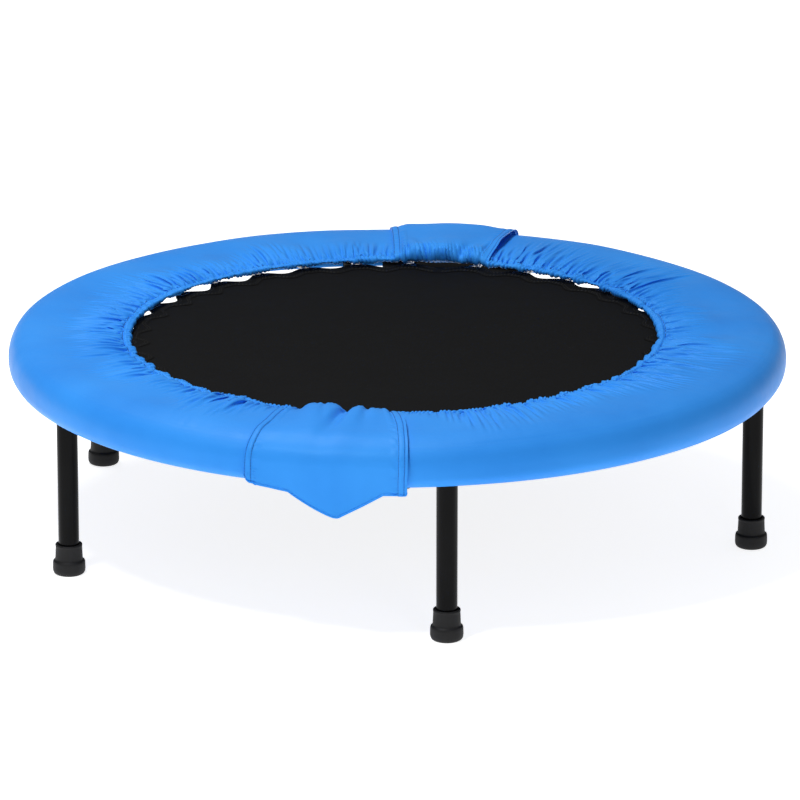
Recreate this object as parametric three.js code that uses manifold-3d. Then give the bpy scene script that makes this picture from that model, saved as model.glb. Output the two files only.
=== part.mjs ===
// A folding mini trampoline: a steel ring in two halves on two hinge brackets, six screw-on legs,
// a jumping mat held by tension springs, and a padded cover with a loose flap over each hinge.
//
// Millimetres, +Z up. The floor is z = 0 and the origin is under the centre of the ring.
// The fold line runs along Y at x = 0. A place on the ring is given by its angle in degrees,
// counted from -Y (the front) towards +X (the right).

import * as THREE from "three";
import { mergeVertices } from "three/addons/utils/BufferGeometryUtils.js";
import Module from "manifold-3d";

// ---------------------------------------------------------------- driving dimensions

const GAP = 0.3; // left between pieces that touch on the real object
const SAME_POINT = 0.001; // corners nearer than this are one corner

// ring tube
const RING_R = 446; // to the middle of the tube
const TUBE_R = 12.5;
const TUBE_WALL = 1.2;
const RING_Z = 227; // the middle of the tube above the floor
const RING_SEGMENTS = 60;
const TUBE_SIDES = 12;
const BORE_SIDES = 8; // of the inside of the tube
const TUBE_END_X = 3; // each half stops this far from the fold line

// hinges: each half turns on a bolt through a curved U channel
const PIN_X = 30;
const PIN_Z = 230;
const PIN_R = 4;
const PIN_HOLE_R = 4.5;
const CHANNEL_HALF_WIDTH = 16.8; // inside
const CHANNEL_WALL = 2.4;
const CHANNEL_BOTTOM_Z = 192;
const CHANNEL_EAR_TOP_Z = 238;
const CHANNEL_HALF_LENGTH = 92;
const EAR_HALF_LENGTH = 40; // at the top of the ears that carry the bolts
const EAR_FOOT = 6; // how much longer an ear is where it meets the low walls
const CHANNEL_CORNER = 8;
const BOLT_HEAD_R = 7;
const BOLT_HEAD_LENGTH = 4.5;
const NUT_LENGTH = 5;
const BOLT_TIP = 1.5; // past the nut
const HEAD_STANDOFF = 0.4; // from the curved outer wall
const NUT_STANDOFF = 2.8; // from the curved inner wall

// legs
const LEGS = [
  { name: "front", angle: 17 },
  { name: "right", angle: 87 },
  { name: "rear_right", angle: 150 },
  { name: "rear_left", angle: -163 },
  { name: "left", angle: -113 },
  { name: "front_left", angle: -54 },
];
const LEG_R = 12.7;
const LEG_WALL = 1.2;
const SADDLE_R = 11; // welded pad that carries the stud under the ring
const SADDLE_BOTTOM_Z = 211;
const SADDLE_TOP_Z = 220;
const STUD_R = 5;
const STUD_LENGTH = 28;
const INSERT_BORE_R = 5.4;
const INSERT_LENGTH = 20; // threaded insert in the top of each leg
const ROUND_SIDES = 12;

// rubber feet
const FOOT_HEIGHT = 38;
const FOOT_BASE_R = 20;
const FOOT_BASE_HEIGHT = 17;
const FOOT_SOLE_R = 17.5;
const FOOT_COLLAR_R = 16.6;
const FOOT_COLLAR_TOP_R = 15.8;
const FOOT_EDGE = 2.5; // height of the rounded edges
const FOOT_EDGE_INSET = 0.6;
const FOOT_FLOOR = 12; // thickness of rubber under the tube

// jumping mat and springs
const MAT_TOP_Z = 235;
const MAT_THICKNESS = 2;
const MAT_TIP_R = 344; // where a spring pulls on the edge
const MAT_VALLEY_R = 330; // between two springs
const MAT_TIP_HALF_ANGLE = 1.4;
const MAT_FOLD_INSET = 5.6; // the strip over the hinges stops this far inside the pins, so the halves clear it
const SPRINGS_PER_HALF = 16;
const FIRST_SPRING_ANGLE = 7;
const SPRING_STEP = (180 - 2 * FIRST_SPRING_ANGLE) / (SPRINGS_PER_HALF - 1);
const SPRING_Z = 234;
const COIL_R = 6;
const WIRE_R = 1.6;
const HOOK_LENGTH = 10; // bare wire at each end of the coil
const HOOK_GAP = 1; // from the tube's flat facets
const SPRING_SIDES = 7;

// cover: vinyl over a thin foam ring, gathered on elastic round the opening
const COVER_R = 480;
const COVER_TOP_Z = 248;
const COVER_END_X = 40; // each half stops under the flaps
const OPENING_R = 330;
const HEM_Z = 244; // the middle of the gathered hem
const CROWN_R = 356; // the top is level from here outwards
const RIM_ROUND = 14;
const SKIRT_R = 468.6;
const SKIRT_BOTTOM_Z = 196;
const VINYL = 2.4; // thickness of the skirt with its lining
const UNDERSIDE_Z = 240.4; // over the springs and the tube
const CURVE_STEPS = 4;

// flaps: one over each hinge, sewn to the left cover and overlapping the right one
const FLAP_LIFT = 0.5;
const FLAP_THICKNESS = 2.2;
const FLAP_HEM_Z = 246.4;
const FLAP_BOTTOM_Z = 189;
const TAB_TIP_Z = 159;
const TAB_HALF_WIDTH = 56;
const TAB_MIDDLE_X = 7;
const FRONT_FLAP = { seamX: -104, edgeX: 90 };
const REAR_FLAP = { seamX: -92, edgeX: 80 };

const FAR = 600; // outside the whole object, for cutting

// ---------------------------------------------------------------- materials

const COLOURS = {
  paintedSteel: { color: 0x101112, roughness: 0.32, metalness: 0.6 },
  zincSteel: { color: 0xb9bcc0, roughness: 0.35, metalness: 1 },
  rubber: { color: 0x1b1c1d, roughness: 0.75, metalness: 0 },
  matFabric: { color: 0x141517, roughness: 0.85, metalness: 0 },
  vinyl: { color: 0x2f86e8, roughness: 0.45, metalness: 0 },
};

function material(finish) {
  return new THREE.MeshStandardMaterial({ ...COLOURS[finish], flatShading: true });
}

// ---------------------------------------------------------------- cutting and joining

const wasm = await Module();
wasm.setup();

// A closed geometry as a solid that can be cut and joined.
function solid(geometry) {
  const bare = geometry.clone();
  bare.deleteAttribute("normal");
  bare.deleteAttribute("uv");
  const merged = mergeVertices(bare, SAME_POINT);
  const corners = merged.index.array;
  const kept = [];
  for (let i = 0; i < corners.length; i += 3) {
    const [a, b, c] = corners.slice(i, i + 3);
    if (a !== b && b !== c && c !== a) kept.push(a, b, c);
  }
  const vertProperties = merged.attributes.position.array;
  const triVerts = new Uint32Array(kept);
  return new wasm.Manifold(new wasm.Mesh({ numProp: 3, vertProperties, triVerts }));
}

function geometryOf(body) {
  const mesh = body.getMesh();
  return new THREE.BufferGeometry()
    .setAttribute("position", new THREE.BufferAttribute(mesh.vertProperties, 3))
    .setIndex(new THREE.BufferAttribute(mesh.triVerts, 1));
}

// A box from its lowest to its highest corner.
function block(low, high) {
  const size = high.map((h, i) => h - low[i]);
  const middle = high.map((h, i) => (h + low[i]) / 2);
  return solid(new THREE.BoxGeometry(...size).translate(...middle));
}

// Everything from x = low to x = high.
function slab(low, high) {
  return block([low, -FAR, -FAR], [high, FAR, FAR]);
}

// A section of [radius, height] points turned about the Z axis.
function turned(points, segments) {
  return new THREE.LatheGeometry(points, segments).rotateX(Math.PI / 2);
}

// An upright round bar from z = low to z = high, standing at a place.
function bar(radius, low, high, place) {
  const geometry = new THREE.CylinderGeometry(radius, radius, high - low, ROUND_SIDES);
  geometry.rotateX(Math.PI / 2).translate(place.x, place.y, (low + high) / 2);
  return solid(geometry);
}

// A flat outline in X and Z, pulled through the whole object along Y.
function outlineAcross(shape) {
  const settings = { depth: FAR, bevelEnabled: false, curveSegments: CURVE_STEPS };
  return solid(new THREE.ExtrudeGeometry(shape, settings).rotateX(Math.PI / 2));
}

function onRing(angle, radius) {
  const turn = THREE.MathUtils.degToRad(angle);
  return new THREE.Vector3(radius * Math.sin(turn), -radius * Math.cos(turn), 0);
}

function vectors(points) {
  return points.map(([x, y]) => new THREE.Vector2(x, y));
}

// ---------------------------------------------------------------- the assembly

const trampoline = new THREE.Group();
trampoline.name = "mini_trampoline";

function piece(name, geometry, finish) {
  const mesh = new THREE.Mesh(geometry, material(finish));
  mesh.name = name;
  trampoline.add(mesh);
  return mesh;
}

// ---------------------------------------------------------------- frame

// The whole ring with its saddles and studs, bored out and drilled for the hinge bolts.
function ring() {
  const tube = new THREE.TorusGeometry(RING_R, TUBE_R, TUBE_SIDES, RING_SEGMENTS);
  let body = solid(tube.translate(0, 0, RING_Z));
  for (const leg of LEGS) {
    const place = onRing(leg.angle, RING_R);
    body = body.add(bar(SADDLE_R, SADDLE_BOTTOM_Z, SADDLE_TOP_Z, place));
    body = body.add(bar(STUD_R, SADDLE_BOTTOM_Z - STUD_LENGTH, SADDLE_TOP_Z, place));
  }
  const bore = new THREE.TorusGeometry(RING_R, TUBE_R - TUBE_WALL, BORE_SIDES, RING_SEGMENTS);
  body = body.subtract(solid(bore.translate(0, 0, RING_Z)));
  return drilled(body);
}

// Bolt holes along Y through both ends of the fold line.
function drilled(body) {
  let left = body;
  for (const x of [-PIN_X, PIN_X]) {
    const hole = new THREE.CylinderGeometry(PIN_HOLE_R, PIN_HOLE_R, 2 * FAR, ROUND_SIDES);
    left = left.subtract(solid(hole.translate(x, 0, PIN_Z)));
  }
  return left;
}

function addFrame() {
  const whole = ring();
  piece("frame_half_left", geometryOf(whole.intersect(slab(-FAR, -TUBE_END_X))), "paintedSteel");
  piece("frame_half_right", geometryOf(whole.intersect(slab(TUBE_END_X, FAR))), "paintedSteel");
}

// ---------------------------------------------------------------- hinges

// The side view of a channel: long low walls under the tube, and ears at the bolts.
function channelOutline() {
  const wallTop = RING_Z - TUBE_R - 2 * GAP;
  const end = CHANNEL_HALF_LENGTH;
  const ear = EAR_HALF_LENGTH;
  return new THREE.Shape()
    .moveTo(-end, wallTop)
    .lineTo(-end, CHANNEL_BOTTOM_Z + CHANNEL_CORNER)
    .quadraticCurveTo(-end, CHANNEL_BOTTOM_Z, CHANNEL_CORNER - end, CHANNEL_BOTTOM_Z)
    .lineTo(end - CHANNEL_CORNER, CHANNEL_BOTTOM_Z)
    .quadraticCurveTo(end, CHANNEL_BOTTOM_Z, end, CHANNEL_BOTTOM_Z + CHANNEL_CORNER)
    .lineTo(end, wallTop)
    .lineTo(ear + EAR_FOOT, wallTop)
    .lineTo(ear, CHANNEL_EAR_TOP_Z)
    .lineTo(-ear, CHANNEL_EAR_TOP_Z)
    .lineTo(-ear - EAR_FOOT, wallTop);
}

function channel() {
  const inner = RING_R - CHANNEL_HALF_WIDTH;
  const outer = RING_R + CHANNEL_HALF_WIDTH;
  const floor = CHANNEL_BOTTOM_Z + CHANNEL_WALL;
  const section = vectors([
    [inner - CHANNEL_WALL, CHANNEL_BOTTOM_Z],
    [outer + CHANNEL_WALL, CHANNEL_BOTTOM_Z],
    [outer + CHANNEL_WALL, CHANNEL_EAR_TOP_Z],
    [outer, CHANNEL_EAR_TOP_Z],
    [outer, floor],
    [inner, floor],
    [inner, CHANNEL_EAR_TOP_Z],
    [inner - CHANNEL_WALL, CHANNEL_EAR_TOP_Z],
    [inner - CHANNEL_WALL, CHANNEL_BOTTOM_Z],
  ]);
  const round = solid(turned(section, RING_SEGMENTS));
  return drilled(round.intersect(outlineAcross(channelOutline())));
}

// A bolt along Y with its head outside the ring and its nut inside.
function hingeBolt() {
  const headStart = RING_R + CHANNEL_HALF_WIDTH + CHANNEL_WALL + HEAD_STANDOFF;
  const nutEnd = RING_R - CHANNEL_HALF_WIDTH - CHANNEL_WALL - NUT_STANDOFF;
  const section = vectors([
    [0, nutEnd - NUT_LENGTH - BOLT_TIP],
    [PIN_R, nutEnd - NUT_LENGTH - BOLT_TIP],
    [PIN_R, nutEnd - NUT_LENGTH],
    [BOLT_HEAD_R, nutEnd - NUT_LENGTH],
    [BOLT_HEAD_R, nutEnd],
    [PIN_R, nutEnd],
    [PIN_R, headStart],
    [BOLT_HEAD_R, headStart],
    [BOLT_HEAD_R, headStart + BOLT_HEAD_LENGTH],
    [0, headStart + BOLT_HEAD_LENGTH],
  ]);
  return new THREE.LatheGeometry(section, ROUND_SIDES);
}

function addHinges() {
  const sides = [
    { name: "front", turn: 0 },
    { name: "rear", turn: Math.PI },
  ];
  for (const side of sides) {
    const bracket = piece(`hinge_bracket_${side.name}`, geometryOf(channel()), "paintedSteel");
    bracket.rotation.z = side.turn;
    for (const [half, x] of [["left", -PIN_X], ["right", PIN_X]]) {
      const bolt = piece(`hinge_bolt_${side.name}_${half}`, hingeBolt(), "zincSteel");
      bolt.rotation.z = Math.PI - side.turn;
      bolt.position.set(x, 0, PIN_Z);
    }
  }
}

// ---------------------------------------------------------------- legs and feet

function legTube() {
  const top = SADDLE_BOTTOM_Z - GAP;
  const bottom = FOOT_FLOOR + GAP;
  const inside = LEG_R - LEG_WALL;
  const section = vectors([
    [LEG_R, bottom],
    [LEG_R, top],
    [INSERT_BORE_R, top],
    [INSERT_BORE_R, top - INSERT_LENGTH],
    [inside, top - INSERT_LENGTH],
    [inside, bottom],
    [LEG_R, bottom],
  ]);
  return turned(section, ROUND_SIDES);
}

function foot() {
  const socket = LEG_R + GAP;
  const section = vectors([
    [0, 0],
    [FOOT_SOLE_R, 0],
    [FOOT_BASE_R - FOOT_EDGE_INSET, FOOT_EDGE],
    [FOOT_BASE_R, FOOT_BASE_HEIGHT / 2],
    [FOOT_BASE_R - FOOT_EDGE_INSET, FOOT_BASE_HEIGHT],
    [FOOT_COLLAR_R, FOOT_BASE_HEIGHT + FOOT_EDGE],
    [FOOT_COLLAR_TOP_R, FOOT_HEIGHT],
    [socket, FOOT_HEIGHT],
    [socket, FOOT_FLOOR],
    [0, FOOT_FLOOR],
  ]);
  return turned(section, ROUND_SIDES);
}

function addLegs() {
  for (const leg of LEGS) {
    const place = onRing(leg.angle, RING_R);
    piece(`leg_tube_${leg.name}`, legTube(), "paintedSteel").position.copy(place);
    piece(`foot_${leg.name}`, foot(), "rubber").position.copy(place);
  }
}

// ---------------------------------------------------------------- mat and springs

function springAngles(side) {
  const angles = [];
  for (let i = 0; i < SPRINGS_PER_HALF; i += 1) {
    angles.push(side * (FIRST_SPRING_ANGLE + i * SPRING_STEP));
  }
  return angles;
}

// The mat's outline: a point at each spring and a hollow curve between two points.
function matOutline() {
  const around = [...springAngles(1), ...springAngles(-1).reverse().map((a) => a + 360)];
  const outline = new THREE.Shape();
  around.forEach((angle, i) => {
    const start = onRing(angle - MAT_TIP_HALF_ANGLE, MAT_TIP_R);
    const end = onRing(angle + MAT_TIP_HALF_ANGLE, MAT_TIP_R);
    const next = i + 1 < around.length ? around[i + 1] : around[0] + 360;
    const valley = onRing((angle + next) / 2, 2 * MAT_VALLEY_R - MAT_TIP_R);
    const after = onRing(next - MAT_TIP_HALF_ANGLE, MAT_TIP_R);
    if (i === 0) outline.moveTo(start.x, start.y);
    outline.lineTo(end.x, end.y);
    outline.quadraticCurveTo(valley.x, valley.y, after.x, after.y);
  });
  return outline;
}

function addMat() {
  const settings = { depth: MAT_THICKNESS, bevelEnabled: false, curveSegments: CURVE_STEPS };
  const sheet = new THREE.ExtrudeGeometry(matOutline(), settings);
  const whole = solid(sheet.translate(0, 0, MAT_TOP_Z - MAT_THICKNESS));
  const strip = PIN_X - MAT_FOLD_INSET;
  piece("mat_left", geometryOf(whole.intersect(slab(-FAR, -PIN_X))), "matFabric");
  piece("mat_fold", geometryOf(whole.intersect(slab(-strip, strip))), "matFabric");
  piece("mat_right", geometryOf(whole.intersect(slab(PIN_X, FAR))), "matFabric");
}

// A spring lies along a radius: a hook, the coil, and a hook into the tube.
function spring() {
  const start = MAT_TIP_R + GAP;
  const end = RING_R - TUBE_R - HOOK_GAP;
  const section = vectors([
    [0, start],
    [WIRE_R, start],
    [WIRE_R, start + HOOK_LENGTH],
    [COIL_R, start + HOOK_LENGTH],
    [COIL_R, end - HOOK_LENGTH],
    [WIRE_R, end - HOOK_LENGTH],
    [WIRE_R, end],
    [0, end],
  ]);
  return new THREE.LatheGeometry(section, SPRING_SIDES);
}

function addSprings() {
  for (const [half, side] of [["left", -1], ["right", 1]]) {
    springAngles(side).forEach((angle, i) => {
      const number = String(i + 1).padStart(2, "0");
      const coil = piece(`spring_${half}_${number}`, spring(), "zincSteel");
      coil.rotation.z = THREE.MathUtils.degToRad(angle) + Math.PI;
      coil.position.z = SPRING_Z;
    });
  }
}

// ---------------------------------------------------------------- cover

// The outer line of the cover's section, from the hem over the rim to the skirt's lower edge,
// moved outwards by lift.
function skin(lift, hemZ, bottomZ) {
  const top = COVER_TOP_Z + lift;
  const rim = COVER_R + lift;
  return new THREE.Path()
    .moveTo(OPENING_R, hemZ + lift)
    .quadraticCurveTo(OPENING_R, top, CROWN_R, top)
    .lineTo(rim - RIM_ROUND, top)
    .quadraticCurveTo(rim, top, rim, top - RIM_ROUND)
    .lineTo(SKIRT_R + lift, bottomZ)
    .getPoints(CURVE_STEPS);
}

function coverSection() {
  const underside = vectors([
    [SKIRT_R - VINYL, SKIRT_BOTTOM_Z],
    [COVER_R - 2 * VINYL, COVER_TOP_Z - RIM_ROUND],
    [COVER_R - RIM_ROUND + VINYL, UNDERSIDE_Z],
    [OPENING_R + VINYL, UNDERSIDE_Z],
  ]);
  return closed([...skin(0, HEM_Z, SKIRT_BOTTOM_Z), ...underside]);
}

function flapSection() {
  const outside = skin(FLAP_LIFT + FLAP_THICKNESS, FLAP_HEM_Z, TAB_TIP_Z);
  const inside = skin(FLAP_LIFT, FLAP_HEM_Z, TAB_TIP_Z);
  return closed([...outside, ...inside.reverse()]);
}

// A section that goes round clockwise faces inwards, so both sections are turned about here.
function closed(points) {
  return [...points, points[0]].reverse();
}

// The side view of a flap, with the pointed tab that hangs below its straight edges.
function flapOutline({ seamX, edgeX }) {
  const left = TAB_MIDDLE_X - TAB_HALF_WIDTH;
  const right = TAB_MIDDLE_X + TAB_HALF_WIDTH;
  const shoulder = (FLAP_BOTTOM_Z + TAB_TIP_Z) / 2;
  return new THREE.Shape()
    .moveTo(seamX, FAR)
    .lineTo(seamX, FLAP_BOTTOM_Z)
    .lineTo(left, FLAP_BOTTOM_Z)
    .quadraticCurveTo(left + TAB_HALF_WIDTH / 2, shoulder, TAB_MIDDLE_X, TAB_TIP_Z)
    .quadraticCurveTo(right - TAB_HALF_WIDTH / 2, shoulder, right, FLAP_BOTTOM_Z)
    .lineTo(edgeX, FLAP_BOTTOM_Z)
    .lineTo(edgeX, FAR);
}

function addCover() {
  const whole = solid(turned(coverSection(), RING_SEGMENTS));
  piece("cover_left", geometryOf(whole.intersect(slab(-FAR, -COVER_END_X))), "vinyl");
  piece("cover_right", geometryOf(whole.intersect(slab(COVER_END_X, FAR))), "vinyl");
  const layer = solid(turned(flapSection(), RING_SEGMENTS));
  const front = layer.intersect(outlineAcross(flapOutline(FRONT_FLAP)));
  const rear = layer.intersect(outlineAcross(flapOutline(REAR_FLAP)).translate(0, FAR, 0));
  piece("cover_flap_front", geometryOf(front), "vinyl");
  piece("cover_flap_rear", geometryOf(rear), "vinyl");
}

addFrame();
addHinges();
addLegs();
addMat();
addSprings();
addCover();

export default trampoline;
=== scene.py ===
import math

import bmesh
import bpy
import numpy as np
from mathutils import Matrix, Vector


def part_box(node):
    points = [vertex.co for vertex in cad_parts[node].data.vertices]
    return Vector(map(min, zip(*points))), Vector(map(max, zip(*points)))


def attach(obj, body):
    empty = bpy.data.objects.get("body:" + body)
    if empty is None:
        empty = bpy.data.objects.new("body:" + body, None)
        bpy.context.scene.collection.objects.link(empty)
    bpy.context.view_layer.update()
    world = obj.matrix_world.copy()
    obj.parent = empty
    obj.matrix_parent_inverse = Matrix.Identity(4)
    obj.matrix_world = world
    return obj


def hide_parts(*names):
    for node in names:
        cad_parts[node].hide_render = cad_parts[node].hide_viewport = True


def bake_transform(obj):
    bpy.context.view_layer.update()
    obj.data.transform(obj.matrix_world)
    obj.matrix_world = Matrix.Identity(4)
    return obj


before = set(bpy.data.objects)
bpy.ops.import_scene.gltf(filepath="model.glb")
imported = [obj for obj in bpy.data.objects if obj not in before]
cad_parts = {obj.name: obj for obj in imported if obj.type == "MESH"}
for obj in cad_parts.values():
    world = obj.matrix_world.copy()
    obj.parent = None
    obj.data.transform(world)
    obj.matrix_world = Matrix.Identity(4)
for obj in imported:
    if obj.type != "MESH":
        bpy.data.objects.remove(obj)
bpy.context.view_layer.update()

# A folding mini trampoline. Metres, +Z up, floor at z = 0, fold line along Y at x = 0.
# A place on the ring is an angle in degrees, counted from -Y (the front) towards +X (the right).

# ---------------------------------------------------------------- sizes

MM = 0.001
BODY_OF_HALF = {-1: "left_frame", 1: "right_frame"}
HALF_NAME = {-1: "left", 1: "right"}

TUBE_LOW, TUBE_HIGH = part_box("frame_half_right")
TUBE_R = 12.5 * MM
TUBE_WALL = 1.2 * MM
RING_R = TUBE_HIGH.x - TUBE_R
RING_Z = TUBE_HIGH.z - TUBE_R
TUBE_END_X = TUBE_LOW.x

LEG_ANGLES = {
    "front": 17,
    "right": 87,
    "rear_right": 150,
    "rear_left": -163,
    "left": -113,
    "front_left": -54,
}

MAT_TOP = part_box("mat_fold")[1].z
MAT_TIP_R = 344 * MM
MAT_VALLEY_R = 331 * MM
MAT_THICKNESS = 1.2 * MM
MAT_TIP_HALF = 1.7   # half the width of the flat top of the mat's points, in degrees
SPRINGS_PER_HALF = 16
FIRST_SPRING = 7.0
SPRING_STEP = (180 - 2 * FIRST_SPRING) / (SPRINGS_PER_HALF - 1)
SPRING_Z = MAT_TOP - MM

SAME_POINT = 1e-6   # points closer than this are merged
ON_AXIS = 1e-7      # the radius of a profile's points on its axis, close enough to be merged

COVER_END_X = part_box("cover_right")[0].x
SKIRT_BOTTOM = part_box("cover_right")[0].z


# ---------------------------------------------------------------- mesh helpers


def at(angle, radius, z=0.0):
    """Points at angles (degrees, from -Y towards +X), radii and heights, as an array of rows."""
    a = np.radians(angle)
    return np.stack(np.broadcast_arrays(radius * np.sin(a), -radius * np.cos(a), z), -1)


def grid_quads(rows, cols, wrap_rows=False, wrap_cols=False, start=0):
    """The faces of a grid of vertices stored row by row."""
    i = np.arange(rows if wrap_rows else rows - 1)[:, None]
    j = np.arange(cols if wrap_cols else cols - 1)[None, :]
    i2, j2 = (i + 1) % rows, (j + 1) % cols
    quads = np.stack(
        np.broadcast_arrays(i * cols + j, i * cols + j2, i2 * cols + j2, i2 * cols + j), -1
    )
    return quads.reshape(-1, 4) + start


def in_scene(name, data):
    obj = bpy.data.objects.new(name, data)
    bpy.context.scene.collection.objects.link(obj)
    return obj


def make(name, parts, material, smooth=True, merge=False, sharp=None):
    """One object from several (vertices, faces) parts, with edges over sharp degrees left crisp."""
    verts, faces, start = [], [], 0
    for v, f in parts:
        v = np.asarray(v, float).reshape(-1, 3)
        faces += [[int(i) + start for i in face] for face in f]
        verts.append(v)
        start += len(v)
    mesh = bpy.data.meshes.new(name)
    mesh.from_pydata(np.concatenate(verts).tolist(), [], faces)
    if merge:
        turn_outwards(mesh, merge=True)
    mesh.materials.append(material)
    mesh.polygons.foreach_set("use_smooth", [smooth] * len(mesh.polygons))
    if sharp is not None:
        mesh.set_sharp_from_angle(angle=math.radians(sharp))
    mesh.update()
    return in_scene(name, mesh)


def turn_outwards(mesh, merge=False):
    """Turns all faces outwards. With merge, points that lie on each other become one first."""
    bm = bmesh.new()
    bm.from_mesh(mesh)
    if merge:
        bmesh.ops.remove_doubles(bm, verts=bm.verts, dist=SAME_POINT)
        bmesh.ops.dissolve_degenerate(bm, edges=bm.edges, dist=SAME_POINT)
    bmesh.ops.recalc_face_normals(bm, faces=bm.faces)
    bm.to_mesh(mesh)
    bm.free()


def turned(profile, steps):
    """A profile of (radius, height) turned about the Z axis, as a part."""
    p = np.asarray(profile, float)
    angles = np.arange(steps) * 360 / steps
    verts = at(angles[None, :], np.maximum(p[:, :1], ON_AXIS), p[:, 1:])
    return verts.reshape(-1, 3), grid_quads(len(p), steps, wrap_cols=True)


def corner(a, b, c, radius, steps):
    """Points round the corner at b, on the way from a to c."""
    r = min(radius, np.linalg.norm(b - a) / 2.1, np.linalg.norm(c - b) / 2.1)
    start = b + (a - b) / np.linalg.norm(a - b) * r
    end = b + (c - b) / np.linalg.norm(c - b) * r
    return [
        (1 - t) ** 2 * start + 2 * t * (1 - t) * b + t * t * end
        for t in np.linspace(0, 1, steps + 1)
    ]


def rounded(profile, radius, steps=3):
    """The same profile with its inner corners rounded off."""
    p = np.asarray(profile, float)
    out = [p[0]]
    for a, b, c in zip(p, p[1:], p[2:]):
        out += corner(a, b, c, radius, steps)
    return np.array([*out, p[-1]])


def sweep(points, radius, sides=8, closed=False):
    """A round wire along points, as a part."""
    p = np.asarray(points, float)
    ahead = np.roll(p, -1, 0) - np.roll(p, 1, 0)
    if not closed:
        ahead[0], ahead[-1] = p[1] - p[0], p[-1] - p[-2]
    ahead /= np.linalg.norm(ahead, axis=1)[:, None]
    side = np.cross(ahead[0], [0.0, 0.0, 1.0])
    if np.linalg.norm(side) < 1e-3:
        side = np.cross(ahead[0], [1.0, 0.0, 0.0])
    sides_at = []
    for t in ahead:
        side = side - t * (side @ t)
        side /= np.linalg.norm(side)
        sides_at.append(side)
    side = np.array(sides_at)
    up = np.cross(side, ahead)
    turn = np.arange(sides) * 2 * np.pi / sides
    ring = np.cos(turn)[None, :, None] * side[:, None] + np.sin(turn)[None, :, None] * up[:, None]
    verts = (p[:, None] + radius * ring).reshape(-1, 3)
    faces = [list(q) for q in grid_quads(len(p), sides, wrap_rows=closed, wrap_cols=True)]
    if not closed:
        faces.append(list(range(sides))[::-1])
        faces.append([(len(p) - 1) * sides + i for i in range(sides)])
    return verts, faces


def smooth_line(points, count):
    """count points along a smooth curve through the given ones, evenly spaced."""
    p = np.asarray(points, float)
    q = np.concatenate([[2 * p[0] - p[1]], p, [2 * p[-1] - p[-2]]])
    fine = []
    for a, b, c, d in zip(q, q[1:], q[2:], q[3:]):
        for t in np.linspace(0, 1, 12, endpoint=False):
            fine.append(
                0.5 * (2 * b + (c - a) * t + (2 * a - 5 * b + 4 * c - d) * t**2
                       + (3 * b - a - 3 * c + d) * t**3)
            )
    fine = np.array([*fine, p[-1]])
    run = np.concatenate([[0], np.cumsum(np.linalg.norm(np.diff(fine, axis=0), axis=1))])
    wanted = np.linspace(0, run[-1], count)
    return np.stack([np.interp(wanted, run, fine[:, k]) for k in range(p.shape[1])], -1)


def eased(share):
    """A share held within 0 to 1, with a soft start and end."""
    share = np.clip(share, 0, 1)
    return share * share * (3 - 2 * share)


def bell(x, width):
    """1 at 0, and less and less over about the width on both sides."""
    return np.exp(-((x / width) ** 2))


def fading(distance, reach, power=2.0):
    """1 as far as a distance of 0, then less and less over about the reach."""
    return np.exp(-((np.maximum(distance, 0) / reach) ** power))


NOISE_CELLS = 4096


def noise_1d(x, cell, seed):
    """Smooth random values along x, changing over about one cell, within -1 to 1."""
    table = np.random.default_rng(seed).uniform(-1, 1, NOISE_CELLS)
    t = np.asarray(x, float) / cell
    i = np.floor(t).astype(int)
    f = eased(t - i)
    return table[i % NOISE_CELLS] * (1 - f) + table[(i + 1) % NOISE_CELLS] * f


def grid_normals(points):
    """A unit normal at every vertex of a grid of points."""
    du = np.gradient(points, axis=0)
    dv = np.gradient(points, axis=1)
    n = np.cross(du, dv)
    return n / np.maximum(np.linalg.norm(n, axis=2), 1e-12)[..., None]


def finish_piece(obj, body, nodes=()):
    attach(obj, body)
    if nodes:
        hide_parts(*nodes)
    return obj


# ---------------------------------------------------------------- materials


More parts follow.
